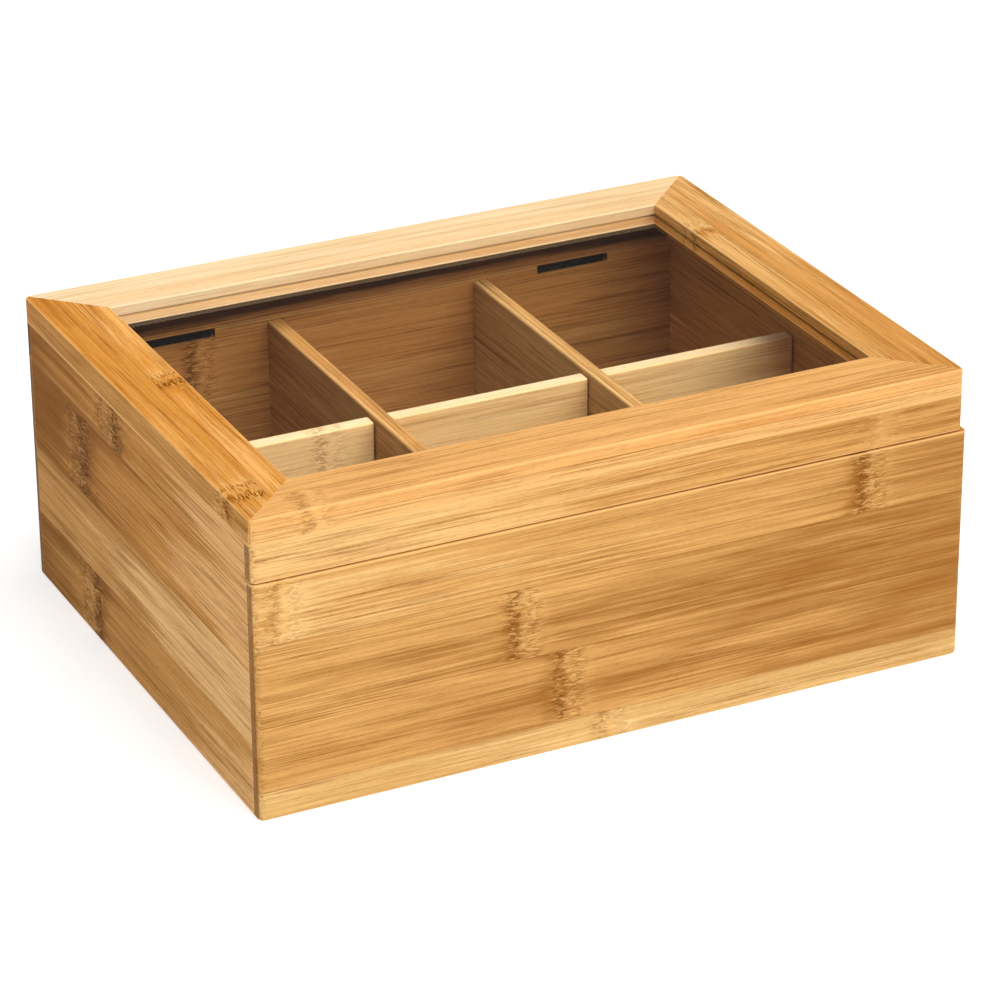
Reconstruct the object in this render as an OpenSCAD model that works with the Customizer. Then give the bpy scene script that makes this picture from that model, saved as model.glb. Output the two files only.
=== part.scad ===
// Tea bag organizer box: a bamboo base with six compartments and a hinged,
// glazed lid. +X is the box's right, +Y its back, +Z up. The origin is the
// middle of the base's underside. All lengths are in millimetres.

/* [Box] */
// Width of the base, side to side
box_w = 235; // [180:1:300]
// Depth of the base, front to back
box_d = 182; // [140:1:240]
// Height of the base, up to the line where the lid meets it
base_h = 76; // [50:1:110]
// Radius of the four upright corners
corner_r = 2.2; // [1.6:0.1:4]
// Radius on the outer lower and upper edges
edge_r = 0.8; // [0.3:0.1:1.5]
// Radius on the outer edges along the line between base and lid
split_edge_r = 0.2; // [0.1:0.1:0.8]

/* [Boards] */
// Thickness of the wall boards of base and lid
wall_t = 10; // [8:0.5:14]
// Thickness of the front and back boards where they cover the side boards' ends
tongue_t = 4; // [2.2:0.1:5]
// Thickness of the bottom panel
bottom_t = 5; // [3:0.5:8]
// How far the bottom panel reaches in under each wall
bottom_reach = 5; // [3:0.5:6]
// Clearance around the bottom panel in its seat
bottom_clearance = 0.1; // [0.05:0.05:0.3]

/* [Dividers] */
// Thickness of the two long partitions
partition_t = 5; // [3:0.5:8]
// How far the partitions' tops lie below the base's top edge
partition_drop = 1; // [0.5:0.5:6]
// Depth of the grooves that hold the partitions' ends
partition_groove = 2.5; // [1.5:0.5:4]
// Clearance around a partition in its grooves
partition_clearance = 0.1; // [0.05:0.05:0.3]
// Thickness of the short cross dividers
cross_divider_t = 5; // [3:0.5:8]
// How far the cross dividers' tops lie below the base's top edge
cross_divider_drop = 2.4; // [1:0.2:20]
// Gap between each end of a cross divider and the board beside it
cross_divider_gap = 0.4; // [0.1:0.1:0.8]
// Radius on the dividers' upper edges
divider_edge_r = 0.6; // [0.3:0.1:1.4]

/* [Lid] */
// Height of the lid's rim boards
rim_h = 12; // [10:1:30]
// Thickness of the frame around the window
frame_t = 8; // [7:0.5:12]
// Width of the rails of the frame around the window
rail_w = 21; // [14:1:40]
// Radius on the frame's upper inner edge
window_edge_r = 0.4; // [0.2:0.1:1.2]
// How far the lid's front stays behind the base's front
lid_short_front = 0.8; // [0:0.1:2]
// How much narrower the lid is than the base, all on the right
lid_short_side = 1.2; // [0:0.1:2]
// Gap between base and lid when the lid is shut
split_gap = 0.3; // [0.2:0.1:0.6]
// The same gap along the sides, where the rim boards reach lower
side_split_gap = 0.1; // [0.05:0.05:0.2]

/* [Glass] */
// Thickness of the glass pane
glass_t = 2; // [1.5:0.5:3]
// Depth of the pane's upper face below the top of the frame
glass_drop = 3.4; // [2:0.2:3.6]
// Depth of the groove in the rails that holds the pane
glass_groove = 5; // [3:0.5:8]
// Clearance between the pane and its groove
glass_clearance = 0.15; // [0.05:0.05:0.4]
// Radius on the pane's ground edges
glass_edge_r = 0.4; // [0.2:0.1:0.6]

/* [Hinges] */
// Distance from each side of the base to the middle of its hinge
hinge_inset = 47; // [25:1:70]
// Length of a hinge along its pin
leaf_l = 24; // [20:1:40]
// Width of a leaf on its board, from the back of the box inwards
leaf_w = 9; // [7:0.5:9]
// Thickness of a leaf
leaf_t = 1.2; // [0.8:0.1:1.5]
// Gap between the two leaves of a shut hinge
leaf_gap = 0.8; // [0.2:0.1:1]
// Clearance between each end of a leaf and its recess
recess_clearance = 1; // [0.8:0.1:2]
// Radius in the lower corners of a recess
recess_corner_r = 0.8; // [0.3:0.1:0.8]
// Outer radius of a knuckle
knuckle_r = 1.7; // [1.6:0.1:2.5]
// Clearance between a knuckle and the back of the box
knuckle_clearance = 0.2; // [0.1:0.1:0.6]
// Length of the lid leaf's middle knuckle
middle_knuckle_l = 8.6; // [6:0.2:12]
// Gap between neighbouring knuckles
knuckle_gap = 0.2; // [0.1:0.1:0.5]
// Radius of a hinge pin
pin_r = 0.8; // [0.6:0.1:1]
// Clearance between a pin and the knuckles' bores
pin_clearance = 0.04; // [0.02:0.01:0.08]
// Radius of the heads at a pin's ends
pin_head_r = 1.3; // [1.2:0.1:1.6]
// Thickness of the heads at a pin's ends
pin_head_t = 0.5; // [0.3:0.1:1]
// Gap between a pin's heads and the outer knuckles
pin_head_gap = 0.1; // [0.05:0.05:0.3]
// Angle at which the heel of the lid leaf stops the lid
open_angle = 100; // [92:1:110]
// Length of the heel, from the pin's axis
heel_l = 3.6; // [2.6:0.2:5]
// Gap between the heel and the back of the box when the lid is fully open
heel_gap = 0.1; // [0.05:0.05:0.3]

/* [Screws] */
// Distance between the two screws of a leaf
screw_spacing = 15; // [11:1:17]
// Radius of a screw's shank over its thread
screw_r = 1; // [0.8:0.1:1.2]
// Depth of the groove between two turns of the thread
thread_depth = 0.25; // [0.1:0.05:0.3]
// Distance from one turn of the thread to the next
thread_pitch = 1; // [0.8:0.1:1.4]
// Length of a screw
screw_l = 8; // [6:0.5:9]
// Radius of a screw's countersunk head
screw_head_r = 1.8; // [1.6:0.1:2.2]
// Height of a screw's countersunk head
screw_head_h = 0.9; // [0.6:0.1:1]
// Clearance between a screw and its holes
screw_clearance = 0.04; // [0.02:0.01:0.08]
// Width of the slots of the cross recess in a screw's head
drive_w = 0.5; // [0.3:0.1:0.6]
// Length of the slots of the cross recess
drive_l = 2; // [1.4:0.1:2.2]
// Depth of the cross recess
drive_depth = 0.5; // [0.3:0.1:0.6]

/* [Hidden] */
$fn = 48;
FRONT = -1;
BACK = 1;
LEFT = -1;
RIGHT = 1;
// Overshoot of a cut beyond the face it opens
CUT = 1;

// Inside of the base
inner_w = box_w - 2 * wall_t;
inner_d = box_d - 2 * wall_t;
column_w = (inner_w - 2 * partition_t) / 3;
partition_x = column_w / 2 + partition_t / 2;
partition_h = base_h - partition_drop - bottom_t;
cross_divider_h = base_h - cross_divider_drop - bottom_t;

// Lid
lid_w = box_w - lid_short_side;
lid_d = box_d - lid_short_front;
lid_h = rim_h + frame_t;
lid_x = -lid_short_side / 2;
lid_y = lid_short_front / 2;
lid_z = base_h + split_gap;
frame_z = lid_z + rim_h;
window_w = lid_w - 2 * rail_w;
window_d = lid_d - 2 * rail_w;

// Glass: the groove is the pane with its clearance all round
glass_w = window_w + 2 * (glass_groove - glass_clearance);
glass_d = window_d + 2 * (glass_groove - glass_clearance);
groove_t = glass_t + 2 * glass_clearance;
glass_z = frame_t - glass_drop - glass_t;

// Hinges: the shut leaves lie one on the other in a recess of the base's back wall
hinge_x = box_w / 2 - hinge_inset;
axis_back = knuckle_r + knuckle_clearance;
axis_y = box_d / 2 + axis_back;
axis_z = lid_z - leaf_t - leaf_gap / 2;
recess_depth = 2 * leaf_t + leaf_gap - split_gap;
recess_l = leaf_l + 2 * recess_clearance;
bore_r = pin_r + pin_clearance;
side_knuckle_l = (leaf_l - middle_knuckle_l) / 2 - knuckle_gap;
screw_y = axis_back + leaf_w / 2;
threads = floor((screw_l - screw_head_h) / thread_pitch) - 1;

bamboo = "#d9a05b";
bamboo_dark = "#b87b3c";
bamboo_pale = "#ecd08f";
black_metal = "#26272a";
zinc = "#b9bcc0";

// ---- Shapes shared by several pieces ----

// Rectangle with its lower and upper corners rounded, standing on y = 0
module edge_profile(w, h, low_r, high_r) {
    translate([-w / 2, low_r]) square([w, h - low_r - high_r]);
    translate([low_r - w / 2, 0]) square([w - 2 * low_r, h / 2]);
    translate([high_r - w / 2, h / 2]) square([w - 2 * high_r, h / 2]);
    for (side = [LEFT, RIGHT]) {
        if (low_r > 0) translate([side * (w / 2 - low_r), low_r]) circle(low_r);
        if (high_r > 0) translate([side * (w / 2 - high_r), h - high_r]) circle(high_r);
    }
}

// Block on z = 0 whose corners, lower and upper edges are eased
module eased_block(w, d, h, plan_r, low_r, high_r) {
    intersection() {
        linear_extrude(h)
            translate([0, -d / 2])
                edge_profile(w, d, plan_r, plan_r);
        rotate([90, 0, 0])
            linear_extrude(d + 2 * CUT, center = true)
                edge_profile(w, h, low_r, high_r);
        rotate([90, 0, 90])
            linear_extrude(w + 2 * CUT, center = true)
                edge_profile(d, h, low_r, high_r);
    }
}

// Right half of the section of a round post of radius r
module post_half(r, h, low_r, high_r) {
    intersection() {
        edge_profile(2 * r, h, low_r, high_r);
        square([r, h]);
    }
}

// Block on z = 0 with round corners in plan and smaller radii on its lower and upper
// edges, put together from a middle, two sides and a quarter of a post for each corner
module rounded_block(w, d, h, plan_r, low_r, high_r) {
    middle_w = w - 2 * plan_r;
    side_d = d - 2 * plan_r;
    rotate([90, 0, 90])
        linear_extrude(middle_w, center = true)
            edge_profile(d, h, low_r, high_r);
    for (side = [LEFT, RIGHT])
        mirror([side == LEFT ? 1 : 0, 0, 0])
            translate([middle_w / 2, 0, 0]) {
                rotate([90, 0, 0])
                    linear_extrude(side_d, center = true)
                        post_half(plan_r, h, low_r, high_r);
                for (end = [FRONT, BACK])
                    mirror([0, end == FRONT ? 1 : 0, 0])
                        translate([0, side_d / 2, 0])
                            rotate_extrude(angle = 90)
                                post_half(plan_r, h, low_r, high_r);
            }
}

// Plan of a front or back board: its ends are cut back to a tongue on the outside.
// The board's outer face lies on y = 0 and its inner face on y = wall_t.
module end_board_plan(w) {
    translate([-w / 2, 0]) square([w, tongue_t]);
    translate([wall_t - w / 2, 0]) square([w - 2 * wall_t, wall_t]);
}

// Front (end = -1) or back (end = 1) board of a box of w by d by h
module end_board(w, d, h, end) {
    translate([0, end * d / 2, 0])
        mirror([0, end == BACK ? 1 : 0, 0])
            linear_extrude(h)
                end_board_plan(w);
}

// Left (side = -1) or right (side = 1) board, held between the tongues
module side_board(w, d, h, side) {
    translate([side * (w - wall_t) / 2, 0, h / 2])
        cube([wall_t, d - 2 * tongue_t, h], center = true);
}

// ---- Base ----

module base_outline() {
    rounded_block(box_w, box_d, base_h, corner_r, edge_r, split_edge_r);
}

// Space of the bottom panel, larger by the clearance on its edges
module bottom_space(clearance) {
    w = inner_w + 2 * (bottom_reach + clearance);
    d = inner_d + 2 * (bottom_reach + clearance);
    below = clearance > 0 ? CUT : 0;
    translate([-w / 2, -d / 2, -below])
        cube([w, d, bottom_t + below]);
}

// Space of a partition, larger by the clearance where a groove holds it
module partition_space(side, clearance) {
    w = partition_t + 2 * clearance;
    d = inner_d + 2 * (partition_groove - partition_clearance + clearance);
    translate([side * partition_x - w / 2, -d / 2, bottom_t])
        cube([w, d, partition_h + clearance]);
}

module seats_in_base() {
    bottom_space(bottom_clearance);
    for (side = [LEFT, RIGHT]) partition_space(side, partition_clearance);
}

// Recess across the back wall's top edge for one shut hinge
module hinge_recess() {
    translate([0, CUT - wall_t / 2, -recess_depth])
        rotate([90, 0, 0])
            linear_extrude(wall_t + 2 * CUT + axis_back, center = true)
                edge_profile(recess_l, recess_depth + CUT, recess_corner_r, 0);
}

module base_front_wall() {
    color(bamboo)
        difference() {
            intersection() {
                end_board(box_w, box_d, base_h, FRONT);
                base_outline();
            }
            seats_in_base();
        }
}

module base_back_wall() {
    color(bamboo)
        difference() {
            intersection() {
                end_board(box_w, box_d, base_h, BACK);
                base_outline();
            }
            seats_in_base();
            for (side = [LEFT, RIGHT]) {
                translate([side * hinge_x, box_d / 2, base_h]) hinge_recess();
                at_hinge(side) leaf_screw_holes();
            }
        }
}

module base_side_wall(side) {
    color(bamboo_dark)
        difference() {
            intersection() {
                side_board(box_w, box_d, base_h, side);
                base_outline();
            }
            seats_in_base();
        }
}

module bottom_panel() {
    color(bamboo_dark) bottom_space(0);
}

module partition(side) {
    d = inner_d + 2 * (partition_groove - partition_clearance);
    color(bamboo)
        intersection() {
            partition_space(side, 0);
            translate([side * partition_x, 0, bottom_t])
                rotate([90, 0, 0])
                    linear_extrude(d + 2 * CUT, center = true)
                        edge_profile(partition_t, partition_h, 0, divider_edge_r);
        }
}

// Cross divider of the left (-1), middle (0) or right (1) column
module cross_divider(column) {
    color(bamboo_pale)
        translate([column * (column_w + partition_t), 0, bottom_t])
            eased_block(column_w - 2 * cross_divider_gap, cross_divider_t,
                cross_divider_h, divider_edge_r, 0, divider_edge_r);
}

// ---- Lid ----

// Outer shape of the lid, reaching lower by a board's reach
module lid_outline(reach = 0) {
    translate([0, 0, -reach])
        rounded_block(lid_w, lid_d, lid_h + reach, corner_r, split_edge_r, edge_r);
}

module at_lid() {
    translate([lid_x, lid_y, lid_z]) children();
}

module lid_rim_end(end) {
    color(bamboo_pale)
        difference() {
            at_lid()
                intersection() {
                    end_board(lid_w, lid_d, rim_h, end);
                    lid_outline();
                }
            if (end == BACK)
                for (side = [LEFT, RIGHT])
                    at_hinge(side) mirror([0, 0, 1]) leaf_screw_holes();
        }
}

module lid_rim_side(side) {
    reach = split_gap - side_split_gap;
    color(bamboo_dark)
        at_lid()
            intersection() {
                translate([0, 0, -reach]) side_board(lid_w, lid_d, rim_h + reach, side);
                lid_outline(reach);
            }
}

// Section of a rail: the outer face on x = 0, the grooved inner face on x = rail_w
module rail_section() {
    difference() {
        square([rail_w, frame_t]);
        translate([rail_w - glass_groove, glass_z - glass_clearance])
            square([glass_groove + CUT, groove_t]);
        translate([rail_w - window_edge_r, frame_t - window_edge_r])
            difference() {
                square(window_edge_r + CUT);
                circle(window_edge_r);
            }
    }
}

// Rail along X, outer face on y = 0, its ends mitred at 45 degrees
module mitred_rail(length) {
    intersection() {
        rotate([90, 0, 90])
            linear_extrude(length, center = true)
                rail_section();
        linear_extrude(frame_t)
            polygon([
                [-length / 2, 0], [length / 2, 0],
                [length / 2 - rail_w, rail_w], [rail_w - length / 2, rail_w]
            ]);
    }
}

module lid_frame_end(end) {
    color(bamboo)
        at_lid()
            intersection() {
                translate([0, end * lid_d / 2, rim_h])
                    rotate([0, 0, end == BACK ? 180 : 0])
                        mitred_rail(lid_w);
                lid_outline();
            }
}

module lid_frame_side(side) {
    color(bamboo)
        at_lid()
            intersection() {
                translate([side * lid_w / 2, 0, rim_h])
                    rotate([0, 0, side * 90])
                        mitred_rail(lid_d);
                lid_outline();
            }
}

module glass_pane() {
    color("lightcyan", 0.35)
        at_lid()
            translate([0, 0, rim_h + glass_z])
                eased_block(glass_w, glass_d, glass_t,
                    glass_edge_r, glass_edge_r, glass_edge_r);
}

// ---- Hinges: drawn about the pin's axis, then put in place ----

module at_hinge(side) {
    translate([side * hinge_x, axis_y, axis_z]) children();
}

// Cylinder along X, centred on x
module along_x(x, length, r) {
    translate([x, 0, 0])
        rotate([0, 90, 0])
            cylinder(h = length, r = r, center = true);
}

// Countersunk hole of one screw, its mouth on z = 0
module screw_hole() {
    c = screw_clearance;
    translate([0, 0, -screw_l - c]) cylinder(h = screw_l + c + CUT, r = screw_r + c);
    translate([0, 0, -screw_head_h - c])
        cylinder(h = screw_head_h + c, r1 = screw_r + c, r2 = screw_head_r + c);
}

// Holes of both screws of a base leaf, drawn about the hinge's axis
module leaf_screw_holes() {
    for (side = [LEFT, RIGHT])
        translate([side * screw_spacing / 2, -screw_y, -leaf_gap / 2])
            screw_hole();
}

// Plate of a leaf, lower one of the shut pair
module leaf_plate() {
    translate([-leaf_l / 2, -axis_back - leaf_w, -leaf_gap / 2 - leaf_t])
        cube([leaf_l, leaf_w, leaf_t]);
}

// Knuckle with the strip that joins it to its plate
module knuckle(x, length) {
    along_x(x, length, knuckle_r);
    translate([x - length / 2, -axis_back, -leaf_gap / 2 - leaf_t])
        cube([length, axis_back, leaf_t]);
}

module base_leaf(side) {
    knuckle_x = (leaf_l - side_knuckle_l) / 2;
    color(black_metal)
        at_hinge(side)
            difference() {
                union() {
                    leaf_plate();
                    for (end = [LEFT, RIGHT]) knuckle(end * knuckle_x, side_knuckle_l);
                }
                along_x(0, leaf_l + 2 * CUT, bore_r);
                leaf_screw_holes();
            }
}

// Heel that meets the back of the box and holds the lid at its open angle
module heel() {
    rotate([open_angle, 0, 0])
        translate([-middle_knuckle_l / 2, heel_gap - axis_back, -heel_l])
            cube([middle_knuckle_l, leaf_t, heel_l]);
}

module lid_leaf(side) {
    color(black_metal)
        at_hinge(side)
            difference() {
                union() {
                    mirror([0, 0, 1]) {
                        leaf_plate();
                        knuckle(0, middle_knuckle_l);
                    }
                    heel();
                }
                along_x(0, leaf_l + 2 * CUT, bore_r);
                mirror([0, 0, 1]) leaf_screw_holes();
            }
}

module hinge_pin(side) {
    head_x = leaf_l / 2 + pin_head_gap + pin_head_t / 2;
    color(black_metal)
        at_hinge(side) {
            along_x(0, 2 * head_x, pin_r);
            for (end = [LEFT, RIGHT]) along_x(end * head_x, pin_head_t, pin_head_r);
        }
}

// Half outline of a screw, head up on y = 0: the thread is drawn as even ridges
function screw_outline() = concat(
    [[0, 0], [screw_head_r, 0], [screw_r, -screw_head_h]],
    [
        for (turn = [0 : threads - 1])
            let (y = -screw_head_h - turn * thread_pitch)
                each [
                    [screw_r - thread_depth, y - thread_pitch / 3],
                    [screw_r - thread_depth, y - 2 * thread_pitch / 3],
                    [screw_r, y - thread_pitch]
                ]
    ],
    [[screw_r - thread_depth, -screw_head_h - (threads + 0.4) * thread_pitch], [0, -screw_l]]
);

module screw() {
    difference() {
        rotate_extrude() polygon(screw_outline());
        for (turn = [0, 90])
            rotate([0, 0, turn])
                translate([-drive_l / 2, -drive_w / 2, -drive_depth])
                    cube([drive_l, drive_w, drive_depth + CUT]);
    }
}

module leaf_screws() {
    color(zinc)
        for (side = [LEFT, RIGHT], end = [LEFT, RIGHT])
            at_hinge(side)
                translate([end * screw_spacing / 2, -screw_y, -leaf_gap / 2])
                    screw();
}

module base_leaf_screws() {
    leaf_screws();
}

// The lid's screws are the base's, turned over at the hinge's axis
module lid_leaf_screws() {
    translate([0, 0, axis_z])
        mirror([0, 0, 1])
            translate([0, 0, -axis_z])
                leaf_screws();
}

// ---- The pieces ----

base_front_wall();
base_back_wall();
base_side_wall(LEFT);  // base_left_wall
base_side_wall(RIGHT);  // base_right_wall
bottom_panel();
partition(LEFT);  // partition_left
partition(RIGHT);  // partition_right
cross_divider(LEFT);  // cross_divider_left
cross_divider(0);  // cross_divider_middle
cross_divider(RIGHT);  // cross_divider_right
base_leaf(LEFT);  // hinge_left_base_leaf
base_leaf(RIGHT);  // hinge_right_base_leaf
hinge_pin(LEFT);  // hinge_left_pin
hinge_pin(RIGHT);  // hinge_right_pin
base_leaf_screws();
lid_rim_end(FRONT);  // lid_rim_front
lid_rim_end(BACK);  // lid_rim_back
lid_rim_side(LEFT);  // lid_rim_left
lid_rim_side(RIGHT);  // lid_rim_right
lid_frame_end(FRONT);  // lid_frame_front
lid_frame_end(BACK);  // lid_frame_back
lid_frame_side(LEFT);  // lid_frame_left
lid_frame_side(RIGHT);  // lid_frame_right
glass_pane();
lid_leaf(LEFT);  // hinge_left_lid_leaf
lid_leaf(RIGHT);  // hinge_right_lid_leaf
lid_leaf_screws();
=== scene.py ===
import math
import random

import bpy
from mathutils import Matrix, Vector


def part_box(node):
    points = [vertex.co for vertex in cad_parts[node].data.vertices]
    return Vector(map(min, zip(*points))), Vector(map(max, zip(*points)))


# Looks of the bamboo tea bag organizer box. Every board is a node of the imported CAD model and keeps
# its shape; this script gives each one its own strips, plies, knuckles and fibres, and adds the
# glass, the metal, the floor, the lights and the photograph's camera.
# Lengths inside a material are in millimetres, everything else is in metres.

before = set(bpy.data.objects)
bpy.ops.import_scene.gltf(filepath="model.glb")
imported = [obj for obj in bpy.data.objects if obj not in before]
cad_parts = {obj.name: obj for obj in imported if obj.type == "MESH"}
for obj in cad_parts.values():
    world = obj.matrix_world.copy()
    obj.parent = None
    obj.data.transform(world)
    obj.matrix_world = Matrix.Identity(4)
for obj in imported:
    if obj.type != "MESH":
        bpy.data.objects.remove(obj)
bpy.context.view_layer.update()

MM = 0.001


# ---------------------------------------------------------------- camera, floor and light

# The photograph's camera, fitted to the corners of the box.
CAMERA_AZIMUTH = -25.81
CAMERA_ELEVATION = 25.65
CAMERA_ROLL = -0.37
CAMERA_DISTANCE = 1.3113
CAMERA_RIGHT = 0.0037
CAMERA_UP = -0.0083
CAMERA_LENS = 151.2
BOARD_BOX_CENTRE = Vector((0.0, 0.0, 0.04815))

FLOOR_HALF = 12.0
FLOOR_THICKNESS = 0.01
FLOOR_GLOW = 0.5

WORLD_LOW = 0.22
WORLD_HIGH = 0.62
KEY_STRENGTH = 2.9
KEY_AZIMUTH = 28.0
KEY_ELEVATION = 57.0
KEY_SPREAD = 65.0
DARK_AZIMUTH = 154.0
DARK_ELEVATION = 25.0
DARK_SHARE = 0.12


def direction(azimuth, elevation):
    """The unit vector from the object towards a place round it; azimuth 0 is in front, -Y."""
    a = math.radians(azimuth)
    e = math.radians(elevation)
    return Vector((math.sin(a) * math.cos(e), -math.cos(a) * math.cos(e), math.sin(e)))


def make_camera():
    """The photograph's camera, looking down at the box from the front left."""
    back = direction(CAMERA_AZIMUTH, CAMERA_ELEVATION)
    right = Vector((0, 0, 1)).cross(back).normalized()
    up = back.cross(right)
    data = bpy.data.cameras.new("camera")
    data.lens = CAMERA_LENS
    data.sensor_width = 36.0
    data.clip_start = 0.01
    data.clip_end = 20.0
    camera = bpy.data.objects.new("camera", data)
    turn = Matrix((right, up, back)).transposed()
    roll = Matrix.Rotation(math.radians(CAMERA_ROLL), 3, "Z")
    place = BOARD_BOX_CENTRE + back * CAMERA_DISTANCE + right * CAMERA_RIGHT + up * CAMERA_UP
    camera.matrix_world = Matrix.Translation(place) @ (turn @ roll).to_4x4()
    bpy.context.scene.collection.objects.link(camera)
    bpy.context.scene.camera = camera


def make_sun(name, strength, azimuth, elevation, spread):
    """A soft light from far away, so that the floor and the box are lit evenly."""
    data = bpy.data.lights.new(name, "SUN")
    data.energy = strength
    data.angle = math.radians(spread)
    sun = bpy.data.objects.new(name, data)
    sun.rotation_mode = "QUATERNION"
    sun.rotation_quaternion = direction(azimuth, elevation).to_track_quat("Z", "Y")
    bpy.context.scene.collection.objects.link(sun)


def make_lights():
    """A soft key from the front right in an even studio, with a dark wall behind the box.

    The wall is what the window reflects to the camera, so that the glass looks clear.
    """
    make_sun("key_light", KEY_STRENGTH, KEY_AZIMUTH, KEY_ELEVATION, KEY_SPREAD)
    world = bpy.data.worlds.new("studio")
    world.use_nodes = True
    bpy.context.scene.world = world
    nodes = Nodes(world.node_tree)
    nodes.tree.nodes.clear()
    place = nodes.add("TexCoord").outputs["Generated"]
    bright = nodes.between(nodes.split(place)[2], 0.0, 1.0, WORLD_LOW, WORLD_HIGH)
    to_wall = direction(DARK_AZIMUTH, DARK_ELEVATION)
    wall = nodes.add("VectorMath", place, to_wall, operation="DOT_PRODUCT")
    bright = nodes.times(bright, nodes.between(wall.outputs["Value"], 0.80, 0.93, 1.0, DARK_SHARE))
    light = nodes.add("Background", (1.0, 1.0, 1.0), bright)
    nodes.add("OutputWorld", light.outputs[0])
    bpy.context.scene.view_settings.view_transform = "Standard"


# ---------------------------------------------------------------- shader nodes

class Nodes:
    """Adds shader nodes to one node tree, and links each as it is made."""

    def __init__(self, tree):
        self.tree = tree

    def feed(self, socket, value):
        """Links value to socket if it is another node's output, and sets it if it is a number."""
        if isinstance(value, bpy.types.NodeSocket):
            self.tree.links.new(value, socket)
        elif value is not None:
            colour = socket.type == "RGBA" and len(value) == 3
            socket.default_value = (*value, 1.0) if colour else value

    def add(self, kind, *values, **settings):
        """A node of that kind with its settings, and its first inputs fed in order."""
        made = self.tree.nodes.new("ShaderNode" + kind)
        for name, value in settings.items():
            setattr(made, name, value)
        for socket, value in zip(made.inputs, values):
            self.feed(socket, value)
        return made

    def math(self, operation, *values):
        return self.add("Math", *values, operation=operation).outputs[0]

    def plus(self, a, b):
        return self.math("ADD", a, b)

    def minus(self, a, b):
        return self.math("SUBTRACT", a, b)

    def times(self, a, b):
        return self.math("MULTIPLY", a, b)

    def larger(self, a, b):
        return self.math("MAXIMUM", a, b)

    def smaller(self, a, b):
        return self.math("MINIMUM", a, b)

    def bell(self, value, centre, width):
        """A bump of height 1 round centre, that is down to a third at one width from it."""
        off = self.times(self.minus(value, centre), 1.0 / width)
        return self.math("EXPONENT", self.times(self.times(off, off), -1.0))

    def between(self, value, low, high, out_low=0.0, out_high=1.0):
        """value taken from low..high to out_low..out_high along a smooth step."""
        made = self.add("MapRange", value, low, high, out_low, out_high)
        made.interpolation_type = "SMOOTHSTEP"
        return made.outputs[0]

    def split(self, vector):
        return self.add("SeparateXYZ", vector).outputs

    def join(self, x, y, z):
        return self.add("CombineXYZ", x, y, z).outputs[0]

    def noise(self, u, v, w, size, detail=1.0):
        """Noise whose lumps measure size = (along, across, through) in millimetres."""
        place = self.join(*(self.times(c, 1.0 / s) for c, s in zip((u, v, w), size)))
        made = self.add("TexNoise", place)
        made.inputs["Scale"].default_value = 1.0
        made.inputs["Detail"].default_value = detail
        made.inputs["Roughness"].default_value = 0.55
        return made.outputs[0]

    def blend(self, share, a, b):
        """A mix of two colours."""
        made = self.add("Mix", data_type="RGBA")
        self.feed(made.inputs["Factor"], share)
        self.feed(made.inputs["A"], a)
        self.feed(made.inputs["B"], b)
        return made.outputs["Result"]

    def steps(self, value, stops):
        """The colour and alpha of the last stop at or below value; stops are (place, rgba)."""
        made = self.add("ValToRGB", value)
        ramp = made.color_ramp
        ramp.interpolation = "CONSTANT"
        while len(ramp.elements) < len(stops):
            ramp.elements.new(0.5)
        for element, (place, colour) in zip(ramp.elements, stops):
            element.position = place
            element.color = colour
        return made.outputs


def new_material(name):
    """An empty node material and the tool that fills it."""
    made = bpy.data.materials.new(name)
    made.use_nodes = True
    made.node_tree.nodes.clear()
    return made, Nodes(made.node_tree)


def object_place(nodes):
    """The point's x, y, z in millimetres on the resting box, and its normal's x, y, z."""
    coordinates = nodes.add("TexCoord").outputs
    scaled = nodes.add("VectorMath", coordinates["Object"], operation="SCALE")
    scaled.inputs["Scale"].default_value = 1.0 / MM
    return tuple(nodes.split(scaled.outputs[0])), tuple(nodes.split(coordinates["Normal"]))


# ---------------------------------------------------------------- bamboo

# The size of each noise's lumps in millimetres: (along the grain, across it, through the board).
DRIFT = (90.0, 20.0, 20.0)
TANGLE = (4.5, 2.2, 2.2)
DOTS = (2.6, 0.40, 0.40)
HAIRS = (26.0, 0.42, 0.42)
LINES = (55.0, 0.68, 0.68)
GROUPS = (70.0, 4.5, 4.5)
BANDS = (130.0, 1.5, 1.5)
WISPS = (14.0, 1.1, 1.1)
CLOUDS = (60.0, 7.0, 7.0)
RAGGED = (12.0, 2.0, 2.0)
DASHES = (3.0, 0.50, 0.50)
PALE_DASHES = (5.0, 0.65, 0.65)
PATCHES = (16.0, 6.0, 6.0)
RUBBED = (9.0, 9.0, 9.0)

# A knuckle is the ring where a bamboo stem is closed: about 10 mm of tangled short fibres with
# small pits along its middle, brown before it and plain and pale after it.
KNUCKLE_HALF = 5.5
NO_KNUCKLE = -80.0
BEND = 1.6          # how far the fibres wander over their length
TANGLE_BEND = 2.6   # and how far they are thrown about in a knuckle
RAGGED_EDGE = 7.0


def bent_place(nodes, u, v, w, k):
    """v and w as the fibres see them: they wander a little, and tangle near a knuckle."""
    drift = nodes.minus(nodes.noise(u, v, w, DRIFT), 0.5)
    tangle = nodes.minus(nodes.noise(u, v, w, TANGLE, 2.0), 0.5)
    near = nodes.bell(k, 0.5, 7.0)
    bend = nodes.plus(nodes.times(drift, BEND), nodes.times(nodes.times(tangle, near), TANGLE_BEND))
    return nodes.plus(v, bend), nodes.plus(w, bend)


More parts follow.
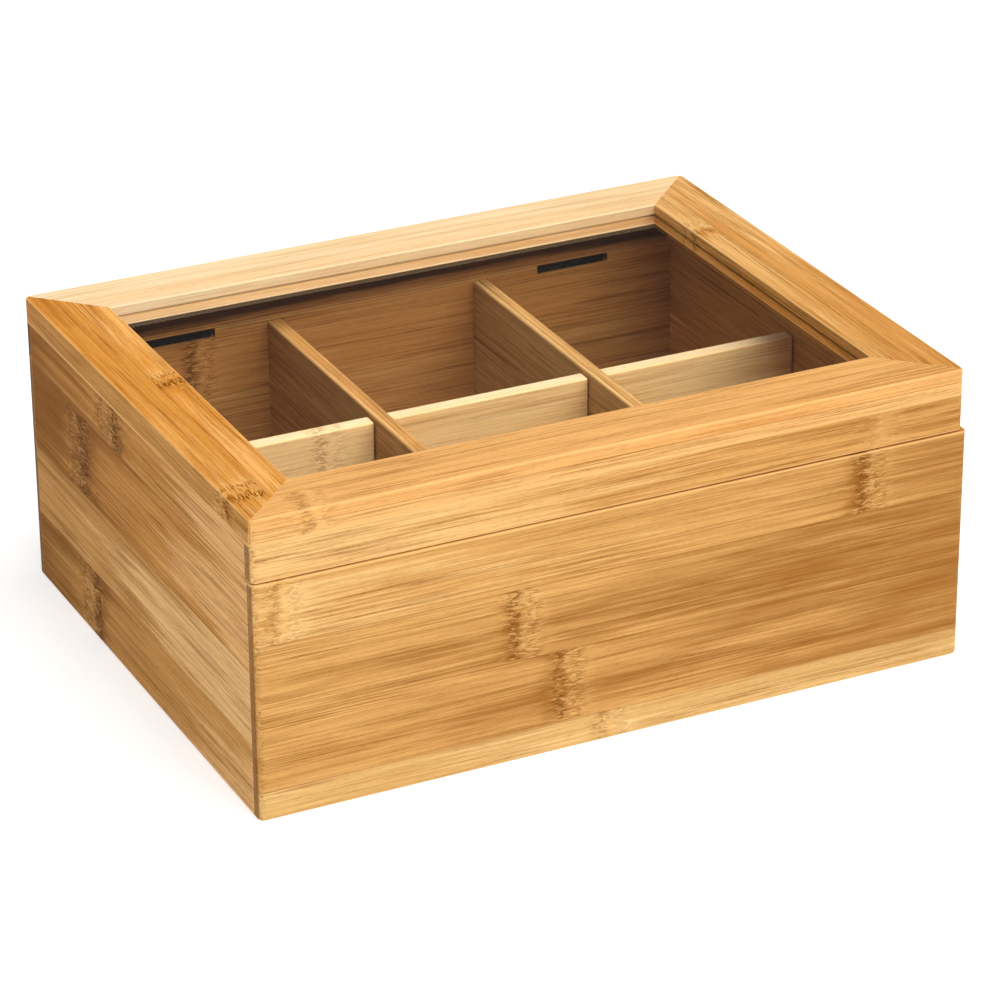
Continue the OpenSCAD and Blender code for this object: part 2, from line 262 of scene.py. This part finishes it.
def thin_lines(nodes, u, v, w):
    """Thin dark lines that come in groups, and dots between them."""
    dots = nodes.between(nodes.noise(u, v, w, DOTS), 0.50, 0.70)
    hair = nodes.between(nodes.noise(u, v, w, HAIRS), 0.46, 0.60)
    line = nodes.between(nodes.noise(u, v, w, LINES), 0.48, 0.60)
    groups = nodes.between(nodes.noise(u, v, w, GROUPS), 0.34, 0.62, 0.40, 1.0)
    fibre = nodes.plus(nodes.times(hair, 0.50), nodes.times(line, 0.62))
    return nodes.plus(nodes.times(fibre, groups), nodes.times(dots, 0.24))


def soft_bands(nodes, u, v, w):
    """The slow change of tone under the fibres, round 0.5."""
    band = nodes.noise(u, v, w, BANDS, 1.5)
    wisp = nodes.noise(u, v, w, WISPS, 2.0)
    cloud = nodes.noise(u, v, w, CLOUDS, 2.0)
    band = nodes.plus(nodes.times(band, 0.40), nodes.times(cloud, 0.40))
    return nodes.plus(band, nodes.times(wisp, 0.20))


def dark_marks(nodes, u, straight, bent, k):
    """A knuckle's dark marks: two rows of short dashes, and pits between them."""
    rows = nodes.larger(nodes.bell(k, -1.7, 2.6), nodes.times(nodes.bell(k, 4.4, 2.6), 0.65))
    dash = nodes.between(nodes.noise(u, *bent, DASHES, 1.0), 0.455, 0.53)
    v, w = straight
    pit_place = nodes.join(nodes.times(u, 0.45), nodes.times(v, 0.6), nodes.times(w, 0.6))
    pit = nodes.add("TexVoronoi", pit_place).outputs["Distance"]
    pits = nodes.times(nodes.between(pit, 0.34, 0.20), nodes.bell(k, -0.5, 1.6))
    return nodes.larger(nodes.times(dash, rows), pits)


def fibre_group():
    """The pattern that all bamboo shares: long fibres, soft bands and what a knuckle does to them.

    Knot and Light are a knuckle's dark and pale marks, Shade is the browner wood before it and Halo
    the paler wood after it.
    """
    tree = bpy.data.node_groups.new("bamboo_fibres", "ShaderNodeTree")
    face = tree.interface
    for name in ("Along", "Across", "Through", "Knuckle"):
        face.new_socket(name, in_out="INPUT", socket_type="NodeSocketFloat")
    for name in ("Fibre", "Band", "Knot", "Light", "Halo", "Shade"):
        face.new_socket(name, in_out="OUTPUT", socket_type="NodeSocketFloat")
    nodes = Nodes(tree)
    u, v, w, k = tree.nodes.new("NodeGroupInput").outputs[:4]
    v2, w2 = bent_place(nodes, u, v, w, k)
    ragged = nodes.minus(nodes.noise(u, v, w, RAGGED, 1.5), 0.5)
    k2 = nodes.plus(k, nodes.times(ragged, RAGGED_EDGE))

    plain = nodes.minus(1.0, nodes.times(nodes.bell(k2, 1.5, KNUCKLE_HALF), 0.9))
    fibre = nodes.times(thin_lines(nodes, u, v2, w2), plain)
    band = soft_bands(nodes, u, v2, w2)
    knot = dark_marks(nodes, u, (v, w), (v2, w2), k2)
    light = nodes.between(nodes.noise(u, w2, v2, PALE_DASHES, 1.0), 0.50, 0.58)
    light = nodes.times(light, nodes.bell(k2, 0.5, 4.5))
    halo = nodes.bell(k2, 6.0, 3.5)
    patchy = nodes.between(nodes.noise(u, v, w, PATCHES, 1.5), 0.35, 0.65, 0.35, 1.2)
    shade = nodes.times(nodes.bell(k2, -2.6, 4.6), patchy)
    made = tree.nodes.new("NodeGroupOutput")
    for socket, value in zip(made.inputs, (fibre, band, knot, light, halo, shade)):
        nodes.feed(socket, value)


class Strip:
    """One glued strip of bamboo: its width, how light and warm it is, and where its knuckles are."""

    def __init__(self, width, tone=0.0, warmth=0.0, knuckle=NO_KNUCKLE, second=NO_KNUCKLE):
        self.width = width
        self.tone = tone
        self.warmth = warmth
        self.knuckle = knuckle
        self.second = second


def random_strips(total, usual, seed, spread=0.10, length=230.0):
    """Strips of about the usual width that fill total, for a board that the photograph hides."""
    chance = random.Random(seed)
    count = max(1, round(total / usual))
    strips = []
    for _ in range(count):
        tone = chance.uniform(-spread, spread)
        warmth = chance.uniform(-spread, spread)
        strips.append(Strip(total / count, tone, warmth, chance.uniform(0.0, length)))
    return strips


SHIFT = 0.5     # a ramp can't hold a negative number, so tone and warmth are stored from here up
REACH = 600.0   # and places along the board as a share of this many millimetres


def from_knuckle(nodes, along, stored):
    """How far along the board a point is from the nearer of the two knuckles that are stored."""
    first, second = (nodes.minus(along, nodes.times(nodes.minus(k, SHIFT), REACH)) for k in stored)
    nearer = nodes.math("LESS_THAN", nodes.math("ABSOLUTE", second), nodes.math("ABSOLUTE", first))
    off = nodes.add("Mix", nearer)
    nodes.feed(off.inputs["A"], first)
    nodes.feed(off.inputs["B"], second)
    return off.outputs["Result"]


def strip_facts(nodes, along, place, strips):
    """(tone, warmth, distance from the knuckle, distance from a glue line) of the strip at place."""
    total = sum(s.width for s in strips)
    stops = []
    edges = []
    start = 0.0
    for s in strips:
        kept = (s.tone + SHIFT, s.warmth + SHIFT, s.knuckle / REACH + SHIFT, s.second / REACH + SHIFT)
        stops.append((start / total, kept))
        start += s.width
        edges.append(start)
    colour, second = nodes.steps(nodes.times(place, 1.0 / total), stops)
    tone, warmth, first = nodes.add("SeparateColor", colour).outputs
    off = from_knuckle(nodes, along, (first, second))
    gap = 1.0
    for edge in edges[:-1]:
        gap = nodes.smaller(gap, nodes.math("ABSOLUTE", nodes.minus(place, edge)))
    return nodes.minus(tone, SHIFT), nodes.minus(warmth, SHIFT), off, gap


class Shades:
    """The linear colours of clear wood, from its palest to its darkest part."""

    def __init__(self, pale, full, deep):
        self.pale = pale
        self.full = full
        self.deep = deep


class Bamboo(Shades):
    """One kind of bamboo: its clear wood, its dark fibres and its knuckles.

    lines is how strongly its fibres show, and worn how pale its edges are, from sanding and a painted
    highlight.
    """

    def __init__(self, pale, full, deep, fibre, knot, lines=1.0, worn_and_highlit=0.7):
        super().__init__(pale, full, deep)
        self.fibre = fibre
        self.knot = knot
        self.lines = lines
        self.worn_and_highlit = worn_and_highlit


GOLDEN = Bamboo(
    pale=(0.82, 0.49, 0.185),
    full=(0.66, 0.330, 0.094),
    deep=(0.33, 0.118, 0.014),
    fibre=(0.24, 0.078, 0.007),
    knot=(0.19, 0.062, 0.003),
)
ORANGE = Bamboo(
    pale=(0.86, 0.48, 0.160),
    full=(0.68, 0.310, 0.068),
    deep=(0.32, 0.098, 0.008),
    fibre=(0.24, 0.064, 0.003),
    knot=(0.24, 0.072, 0.004),
    lines=1.1,
)
TAN = Bamboo(
    pale=(0.82, 0.495, 0.200),
    full=(0.57, 0.290, 0.078),
    deep=(0.25, 0.100, 0.009),
    fibre=(0.19, 0.066, 0.006),
    knot=(0.11, 0.034, 0.003),
    worn_and_highlit=0.15,
)
PALE = Bamboo(
    pale=(0.92, 0.70, 0.42),
    full=(0.87, 0.60, 0.31),
    deep=(0.58, 0.29, 0.085),
    fibre=(0.46, 0.22, 0.065),
    knot=(0.36, 0.16, 0.050),
    lines=0.7,
)
INNER = Bamboo(
    pale=(0.62, 0.325, 0.106),
    full=(0.48, 0.220, 0.062),
    deep=(0.22, 0.084, 0.018),
    fibre=(0.15, 0.052, 0.011),
    knot=(0.11, 0.038, 0.008),
)
DIVIDER = Bamboo(
    pale=(0.96, 0.64, 0.295),
    full=(0.90, 0.53, 0.195),
    deep=(0.56, 0.255, 0.058),
    fibre=(0.42, 0.18, 0.042),
    knot=(0.32, 0.14, 0.040),
    lines=0.8,
)
# A painted shadow: the back rim is dark right under the back rail, where the rail's shadow falls. It runs
# through the whole board, so the rim's outer face and ends show it too.
PAINTED_SHADOW_RIM = Bamboo(
    pale=(0.58, 0.300, 0.100),
    full=(0.42, 0.190, 0.058),
    deep=(0.064, 0.028, 0.011),
    fibre=(0.12, 0.042, 0.009),
    knot=(0.11, 0.038, 0.008),
)

# Narrow faces that differ from their board's flat sides.
RAIL_EDGE = Shades(pale=(0.95, 0.53, 0.180), full=(0.90, 0.45, 0.130), deep=(0.55, 0.23, 0.045))
WALL_TOP = Shades(pale=(0.82, 0.495, 0.200), full=(0.66, 0.350, 0.115), deep=(0.46, 0.215, 0.055))
PARTITION_TOP = Shades(pale=(0.80, 0.420, 0.140), full=(0.66, 0.300, 0.078), deep=(0.38, 0.150, 0.028))

# The seam's colour: grime, and a painted shadow of the gap at the glass.
SEAM_GRIME_AND_SHADOW = (0.07, 0.035, 0.016)
AXES = "xyz"

# The darkness at which clear wood has its full and its deep colour; at 0 it is pale.
FULL_AT = 0.5
DEEP_AT = 1.4

# How strongly each thing shows in a board's colour.
BAND_CONTRAST = 2.1
FIBRE_SHARE = 0.58
KNOT_SHARE = 0.85
GLUE_SHARE = 0.40
END_GRAIN_SHARE = 0.72
SHADE_TONE = 0.40
HALO_TONE = 0.16
FAINT = 0.50              # how much of a knuckle's mark goes where it is faint
SATIN = 0.40              # how rough the lacquer is
LACQUER_DEPTH = 0.00008   # and how deep it sinks into the fibres, in metres

# Boards, and strips that differ in tone or warmth, are cut from different stretches of stem. These are
# the steps from one to the next, and how far a step goes along, across and through the stem.
BOARD_STEP = 3.0
TONE_STEP = 23.0
WARMTH_STEP = 17.0
PLY_STEP = 13.0
STEM_STEPS = (173.0, 31.0, 17.0)


class Board:
    """Which way a board's grain runs, which way its strips lie side by side, and what they are.

    edge has the shades of the narrow faces, where the strips are cut side on.
    fade is painted shade: how much darker the board grows from its lower to its upper end along the
    grain, as the light falls off along it.
    streaks are soft bands along the grain: (place across the strips, width, tone), with a second
    tone if it differs at the grain's upper end.
    knots is how dark the knuckles are, glint how light their pale dashes, and reach how long they are.
    faint are places where a knuckle is only lightly marked: (along, across, size).
    gloss is how much the lacquer mirrors; seam is the height of a dark line on inner edges, grime in the
    joint at the glass and a painted shadow of its gap.
    """

    def __init__(self, kind, grain, across, strips, plies=None, edge=None, **looks):
        self.kind = kind
        self.edge = edge or kind
        self.grain = AXES.index(grain)
        self.across = AXES.index(across)
        self.through = 3 - self.grain - self.across
        self.strips = strips
        self.plies = plies or [Strip(100.0)]
        self.fade = looks.get("fade", 0.0)
        self.streaks = looks.get("streaks", ())
        self.knots = looks.get("knots", 1.0)
        self.glint = looks.get("glint", 0.50)
        self.faint = looks.get("faint", ())
        self.reach = looks.get("reach", 1.0)
        self.gloss = looks.get("gloss", 0.04)
        self.seam = looks.get("seam")


def edge_distance(nodes, place, low, high):
    """How far a place on a board's face is from the nearest edge of its box."""
    to_side = []
    for axis in range(3):
        from_low = nodes.minus(place[axis], low[axis])
        from_high = nodes.minus(high[axis], place[axis])
        to_side.append(nodes.smaller(from_low, from_high))
    a, b, c = to_side
    return nodes.larger(nodes.smaller(a, b), nodes.smaller(nodes.larger(a, b), c))


def facing(nodes, normal, axis):
    """1 on the faces that look along axis, 0 on the others."""
    return nodes.between(nodes.math("ABSOLUTE", normal[axis]), 0.75, 0.95)


def bamboo_colour(nodes, board, dark, warmth, edge_share):
    """The clear wood's colour: pale where dark is 0, full at FULL_AT and deep at DEEP_AT."""
    shades = []
    for name in ("pale", "full", "deep"):
        flat, side = getattr(board.kind, name), getattr(board.edge, name)
        shades.append(flat if flat == side else nodes.blend(edge_share, flat, side))
    pale, full, deep = shades
    colour = nodes.blend(nodes.between(dark, 0.0, FULL_AT), pale, full)
    colour = nodes.blend(nodes.between(dark, FULL_AT, DEEP_AT), colour, deep)
    made = nodes.add("HueSaturation")
    nodes.feed(made.inputs["Hue"], nodes.minus(0.5, nodes.times(warmth, 0.03)))
    nodes.feed(made.inputs["Saturation"], nodes.plus(1.0, nodes.times(warmth, 0.2)))
    nodes.feed(made.inputs["Color"], colour)
    return made.outputs[0]


def lacquer(nodes, colour, fibre, knot, band, rub, gloss):
    """The finish: thin satin lacquer that sinks a little into fibres and knuckles."""
    rough = nodes.plus(SATIN, nodes.times(nodes.plus(fibre, knot), 0.14))
    rough = nodes.plus(rough, nodes.times(nodes.minus(rub, 0.5), 0.12))
    depth = nodes.plus(nodes.times(fibre, -0.35), nodes.times(knot, -1.0))
    depth = nodes.plus(depth, nodes.times(band, 0.3))
    bump = nodes.add("Bump")
    bump.inputs["Strength"].default_value = 0.6
    bump.inputs["Distance"].default_value = LACQUER_DEPTH
    nodes.feed(bump.inputs["Height"], depth)
    surface = nodes.add("BsdfPrincipled")
    nodes.feed(surface.inputs["Base Color"], colour)
    nodes.feed(surface.inputs["Roughness"], rough)
    nodes.feed(surface.inputs["Normal"], bump.outputs[0])
    surface.inputs["Specular IOR Level"].default_value = gloss
    return surface.outputs[0]


def board_fibres(nodes, board, place, off, stem):
    """The shared fibres, taken from another stretch of stem for each strip."""
    fibres = nodes.add("Group", node_tree=bpy.data.node_groups["bamboo_fibres"])
    for name, value, step in zip(("Along", "Across", "Through"), place, STEM_STEPS):
        nodes.feed(fibres.inputs[name], nodes.plus(value, nodes.times(stem, step)))
    nodes.feed(fibres.inputs["Knuckle"], nodes.times(off, 1.0 / board.reach))
    return fibres.outputs


def board_darkness(nodes, board, u, v, length, tone, band):
    """How dark the clear wood is: its soft bands, its strip's tone, its streaks, and its fade, which is
    painted shade.
    """
    dark = nodes.plus(FULL_AT, nodes.times(nodes.minus(band, 0.5), BAND_CONTRAST * board.kind.lines))
    dark = nodes.minus(dark, tone)
    for centre, width, *tones in board.streaks:
        streak = nodes.add("MapRange", u, 0.0, length, tones[0], tones[-1]).outputs[0]
        dark = nodes.minus(dark, nodes.times(nodes.bell(v, centre, width), streak))
    # The fade paints the light falling off along the grain.
    along = nodes.minus(nodes.times(u, 1.0 / length), 0.5)
    return nodes.plus(dark, nodes.times(along, board.fade))


def knuckle_strength(nodes, board, u, v):
    """How dark a knuckle's marks are at a place."""
    mark = board.knots
    for along, across, size in board.faint:
        here = nodes.times(nodes.bell(u, along, size), nodes.bell(v, across, size))
        mark = nodes.times(mark, nodes.minus(1.0, nodes.times(here, FAINT)))
    return mark


def seam_grime_and_shadow(nodes, board, colour, v, w, band, edge_share):
    """The dark line of the joint at the glass on a board's inner edge: grime, and a painted shadow of the
    gap.
    """
    grime_and_shadow = nodes.times(nodes.bell(w, board.seam, 0.2), nodes.between(band, 0.3, 0.6, 0.6, 1.0))
    inner = nodes.times(edge_share, nodes.between(v, 2.0, 1.0))
    return nodes.blend(nodes.times(grime_and_shadow, inner), colour, SEAM_GRIME_AND_SHADOW)


def end_grain_and_highlit_edges(nodes, board, colour, place, normal, low, high, rub):
    """End grain is darker, because the cut fibres drink the lacquer; edges are paler, partly from sanding
    and partly as a painted highlight on the arris.
    """
    end_grain = nodes.times(facing(nodes, normal, board.grain), END_GRAIN_SHARE)
    colour = nodes.blend(end_grain, colour, board.kind.knot)
    edge = edge_distance(nodes, place, low, high)
    # Pale along the edges: partly sanded wood, partly a painted highlight on the arris.
    worn_and_highlit = nodes.between(nodes.plus(edge, nodes.times(rub, 0.5)), 0.95, 0.50, 0.0, board.kind.worn_and_highlit)
    return nodes.blend(worn_and_highlit, colour, board.kind.pale)


def bamboo_material(name, board, low, high, step):
    """One board's material: strips and plies set the tone, and the shared fibres run along them."""
    made, nodes = new_material("bamboo_" + name)
    kind = board.kind
    place, normal = object_place(nodes)
    u, v, w = (nodes.minus(place[axis], low[axis]) for axis in (board.grain, board.across, board.through))
    tone, warmth, off, gap = strip_facts(nodes, u, v, board.strips)
    ply_tone, ply_warmth, _, ply_gap = strip_facts(nodes, u, w, board.plies)
    stem = nodes.plus(nodes.times(tone, TONE_STEP), nodes.plus(nodes.times(warmth, WARMTH_STEP), step))
    stem = nodes.plus(stem, nodes.times(ply_tone, PLY_STEP))
    tone = nodes.plus(tone, ply_tone)
    warmth = nodes.plus(warmth, ply_warmth)
    if len(board.plies) > 1:
        gap = nodes.smaller(gap, ply_gap)
    fibre, band, knot, light, halo, shade = board_fibres(nodes, board, (u, v, w), off, stem)

    length = high[board.grain] - low[board.grain]
    mark = knuckle_strength(nodes, board, u, v)
    dark = board_darkness(nodes, board, u, v, length, tone, band)
    dark = nodes.plus(dark, nodes.times(nodes.times(shade, SHADE_TONE), mark))
    dark = nodes.minus(dark, nodes.times(halo, HALO_TONE))
    edge_share = facing(nodes, normal, board.across)
    colour = bamboo_colour(nodes, board, dark, warmth, edge_share)
    colour = nodes.blend(nodes.times(fibre, FIBRE_SHARE * kind.lines), colour, kind.fibre)
    colour = nodes.blend(nodes.times(light, board.glint), colour, kind.pale)
    colour = nodes.blend(nodes.times(nodes.times(knot, KNOT_SHARE), mark), colour, kind.knot)
    colour = nodes.blend(nodes.between(gap, 0.28, 0.05, 0.0, GLUE_SHARE), colour, kind.fibre)
    if board.seam:
        colour = seam_grime_and_shadow(nodes, board, colour, v, w, band, edge_share)
    rub = nodes.noise(*place, RUBBED, 2.0)
    colour = end_grain_and_highlit_edges(nodes, board, colour, place, normal, low, high, rub)
    nodes.add("OutputMaterial", lacquer(nodes, colour, fibre, knot, band, rub, board.gloss))
    return made


# Each is Strip(width, tone, warmth, place of its knuckle, place of a second one), listed from a board's
# lowest edge upwards, or from its front or left edge on. Where the photograph shows them, their
# widths, tones and knuckles are those that it shows.
FRONT_WALL = [
    Strip(9.3, -0.10, -0.42, 113.0),
    Strip(23.7, -0.34, -0.15, 98.5),
    Strip(23.3, -0.27, -0.15, 84.0),
    Strip(19.7, -0.10, -0.12, 8.0, 200.0),
]
BACK_WALL = [
    Strip(24.0, -0.02, 0.05, 150.0),
    Strip(29.0, 0.06, -0.05),
    Strip(23.0, -0.02, 0.05, 53.0),
]
LEFT_WALL = [
    Strip(23.0, -0.02, 0.10, 127.0),
    Strip(24.0, 0.36, 0.05),
    Strip(27.0, -0.12, 0.25, 133.0),
    Strip(2.0, -0.08, 0.25, 104.0),
]
FRONT_RIM = [Strip(12.0, 0.18, -0.05, 203.0)]
LEFT_RIM = [Strip(12.0, -0.08, 0.25, 104.0)]
LEFT_RAIL = [
    Strip(11.7, 0.14, 0.05, 17.0),
    Strip(9.3, 0.32, 0.15, 99.0),
]
FRONT_RAIL = [
    Strip(12.2, 0.55, 0.24, 19.0),
    Strip(8.8, 0.55, 0.22),
]
RIGHT_RAIL = [
    Strip(8.0, 0.34, 0.08, 134.0),
    Strip(13.0, 0.17, 0.08),
]
BACK_RAIL = [
    Strip(9.0, 0.10, 0.10),
    Strip(12.0, 0.22, 0.00),
]

# The lid's frame is two plies thick, and a partition is three.
FRONT_PLIES = [Strip(4.0, 0.15, -0.05), Strip(4.0, 0.00, 0.10)]
LEFT_PLIES = [Strip(4.0, -0.05, 0.00), Strip(4.0, 0.00, 0.05)]
RIGHT_PLIES = [Strip(4.3, -0.25, 0.05), Strip(3.7, -0.05, 0.05)]
BACK_PLIES = [Strip(4.3, -0.50, 0.10), Strip(3.7, 0.05, 0.00)]
PARTITION_PLIES = [Strip(1.7, 0.15), Strip(1.7, 0.00, 0.25), Strip(1.6, -0.05, 0.05)]

LEFT_PARTITION = [Strip(24.0, 0.02, -0.30), Strip(23.0, 0.10, -0.40), Strip(23.0, 0.00, -0.30, 60.0)]
RIGHT_PARTITION = [Strip(24.0, 0.25, -0.35), Strip(23.0, 0.34, -0.45), Strip(23.0, 0.28, -0.35)]

# Streaks are (place across, width, tone, tone at the far end if it differs). The front is darkest along
# two soft bands, and the left side just below each glue line.
FRONT_STREAKS = [
    (40.0, 8.0, -0.20), (18.0, 7.0, -0.12), (21.0, 11.0, -0.12, 0.12), (65.0, 9.0, 0.15, -0.10),
    (3.0, 5.0, -0.05, 0.52),
]
FRONT_FAINT = [(8.0, 66.0, 14.0), (113.0, 3.0, 9.0)]
LEFT_STREAKS = [
    (73.0, 3.6, -0.26), (46.3, 2.8, -0.26), (20.5, 2.8, -0.24), (35.5, 6.0, 0.12),
    (10.0, 11.0, -0.50, 0.24), (35.0, 11.0, -0.42, 0.14), (62.0, 12.0, 0.25, -0.15),
]

LEFT_RAIL_STREAKS = [(6.0, 6.0, 0.14, -0.40), (16.5, 5.0, -0.24, 0.06)]

BOARDS = {
    "base_front_wall": Board(
        GOLDEN, "x", "z", FRONT_WALL, fade=0.60, streaks=FRONT_STREAKS, faint=FRONT_FAINT,
    ),
    "base_back_wall": Board(INNER, "x", "z", BACK_WALL),
    "base_left_wall": Board(
        TAN, "y", "z", LEFT_WALL, edge=WALL_TOP, fade=1.45, streaks=LEFT_STREAKS, reach=1.7, gloss=0.015,
        knots=1.1, glint=0.28,
    ),
    "base_right_wall": Board(TAN, "y", "z", random_strips(76.0, 24.0, 5)),
    "bottom_panel": Board(INNER, "x", "y", random_strips(172.0, 21.0, 8)),
    "partition_left": Board(
        INNER, "y", "z", LEFT_PARTITION, PARTITION_PLIES, PARTITION_TOP, knots=0.25, gloss=0.02,
    ),
    "partition_right": Board(
        INNER, "y", "z", RIGHT_PARTITION, PARTITION_PLIES, PARTITION_TOP, knots=0.25, gloss=0.02,
    ),
    "cross_divider_left": Board(
        DIVIDER, "x", "z", [Strip(50.0, 0.45), Strip(18.6, 0.55, 0.0, 51.0)], edge=PALE, knots=0.7,
    ),
    "cross_divider_middle": Board(
        DIVIDER, "x", "z", [Strip(46.0, 0.2), Strip(22.6, 0.32)], edge=PALE,
    ),
    "cross_divider_right": Board(
        DIVIDER, "x", "z", [Strip(48.0, 0.2), Strip(20.6, 0.30)], edge=PALE,
    ),
    "lid_rim_front": Board(GOLDEN, "x", "z", FRONT_RIM, fade=0.90, knots=0.25, glint=0.25),
    # Its streak paints the back rail's shadow onto the rim, darkest just under the rail.
    "lid_rim_back": Board(PAINTED_SHADOW_RIM, "x", "z", [Strip(12.0, 0.05)], streaks=[(7.6, 4.2, -2.1)]),
    "lid_rim_left": Board(
        TAN, "y", "z", LEFT_RIM, edge=WALL_TOP, fade=1.45, reach=2.0, gloss=0.015, knots=1.1, glint=0.28,
    ),
    "lid_rim_right": Board(TAN, "y", "z", [Strip(12.0)]),
    "lid_frame_front": Board(GOLDEN, "x", "y", FRONT_RAIL, FRONT_PLIES, fade=0.3, knots=0.6),
    "lid_frame_left": Board(
        ORANGE, "y", "x", LEFT_RAIL, LEFT_PLIES, edge=TAN, fade=0.1, streaks=LEFT_RAIL_STREAKS,
        gloss=0.01, knots=1.3,
    ),
    "lid_frame_right": Board(
        GOLDEN, "y", "x", RIGHT_RAIL, RIGHT_PLIES, edge=RAIL_EDGE, fade=-0.6, gloss=0.015, knots=0.8,
    ),
    "lid_frame_back": Board(PALE, "x", "y", BACK_RAIL, BACK_PLIES, fade=0.25, seam=4.6),
}


# ---------------------------------------------------------------- glass and metal

def glass_material():
    """Clear window glass that lets the lamps through, with a few specks of dust."""
    made, nodes = new_material("window_glass")
    glass = nodes.add("BsdfPrincipled")
    glass.inputs["Base Color"].default_value = (0.97, 0.985, 0.975, 1.0)
    glass.inputs["Transmission Weight"].default_value = 1.0
    glass.inputs["IOR"].default_value = 1.45
    glass.inputs["Specular IOR Level"].default_value = 0.06
    speck = nodes.add("TexVoronoi", nodes.add("TexCoord").outputs["Object"])
    speck.inputs["Scale"].default_value = 55.0
    dust = nodes.between(speck.outputs["Distance"], 0.03, 0.01, 0.0, 0.25)
    nodes.feed(glass.inputs["Roughness"], dust)
    clear = nodes.add("BsdfTransparent")
    ray = nodes.add("LightPath").outputs["Is Shadow Ray"]
    both = nodes.add("MixShader", ray, glass.outputs[0], clear.outputs[0])
    nodes.add("OutputMaterial", both.outputs[0])
    return made


def metal_material(name, colour, scratch_and_glint, metallic, roughness, grain):
    """Stamped sheet metal: its finish, finely brushed, with bright bare scratches that also serve as
    painted glints.
    """
    made, nodes = new_material(name)
    place, _ = object_place(nodes)
    brushed = nodes.noise(*place, (6.0, grain, grain), 2.0)
    rub = nodes.noise(*place, (1.6, 0.8, 0.8), 3.0)
    bare_and_glint = nodes.between(rub, 0.60, 0.72, 0.0, 0.6)
    surface = nodes.add("BsdfPrincipled")
    nodes.feed(surface.inputs["Base Color"], nodes.blend(bare_and_glint, colour, scratch_and_glint))
    nodes.feed(surface.inputs["Roughness"], nodes.between(brushed, 0.3, 0.7, roughness, roughness + 0.2))
    surface.inputs["Metallic"].default_value = metallic
    bump = nodes.add("Bump")
    bump.inputs["Strength"].default_value = 0.4
    bump.inputs["Distance"].default_value = 0.00003
    nodes.feed(bump.inputs["Height"], brushed)
    nodes.feed(surface.inputs["Normal"], bump.outputs[0])
    nodes.add("OutputMaterial", surface.outputs[0])
    return made


def floor_material():
    """Plain pale studio paper."""
    made, nodes = new_material("studio_floor")
    surface = nodes.add("BsdfPrincipled")
    tooth = nodes.add("TexNoise", nodes.add("TexCoord").outputs["Object"])
    tooth.inputs["Scale"].default_value = 60.0
    shade = nodes.between(tooth.outputs[0], 0.3, 0.7)
    nodes.feed(surface.inputs["Base Color"], nodes.blend(shade, (0.68, 0.68, 0.68), (0.70, 0.70, 0.70)))
    surface.inputs["Roughness"].default_value = 0.9
    surface.inputs["Specular IOR Level"].default_value = 0.0
    surface.inputs["Emission Color"].default_value = (1.0, 1.0, 1.0, 1.0)
    surface.inputs["Emission Strength"].default_value = FLOOR_GLOW
    nodes.add("OutputMaterial", surface.outputs[0])
    return made


# ---------------------------------------------------------------- putting it together

def make_floor():
    """The table top that the box stands on."""
    bpy.ops.mesh.primitive_cube_add(size=1.0, location=(0.0, 0.0, -FLOOR_THICKNESS / 2))
    floor = bpy.context.object
    floor.name = "floor"
    floor.scale = (2 * FLOOR_HALF, 2 * FLOOR_HALF, FLOOR_THICKNESS)
    floor.data.materials.append(floor_material())


def dress(node, material):
    """Gives a CAD node its finished material."""
    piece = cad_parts[node]
    for number in range(len(piece.data.materials)):
        piece.data.materials[number] = material


def dress_boards():
    """Each board gets a bamboo of its own, cut from another stem than its neighbours'."""
    fibre_group()
    for number, (node, board) in enumerate(BOARDS.items()):
        low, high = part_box(node)
        low_mm = [c / MM for c in low]
        high_mm = [c / MM for c in high]
        dress(node, bamboo_material(node, board, low_mm, high_mm, BOARD_STEP * number))


def dress_metal():
    """Black hinges and bright screws."""
    black = metal_material(
        "black_hinge", colour=(0.022, 0.021, 0.020), scratch_and_glint=(0.16, 0.15, 0.14),
        metallic=0.7, roughness=0.38, grain=0.5,
    )
    zinc = metal_material(
        "zinc_screw", colour=(0.62, 0.62, 0.60), scratch_and_glint=(0.80, 0.79, 0.76),
        metallic=1.0, roughness=0.28, grain=0.3,
    )
    for side in ("left", "right"):
        for part in ("base_leaf", "lid_leaf", "pin"):
            dress(f"hinge_{side}_{part}", black)
    dress("base_leaf_screws", zinc)
    dress("lid_leaf_screws", zinc)


make_camera()
make_floor()
make_lights()
dress_boards()
dress_metal()
dress("glass_pane", glass_material())
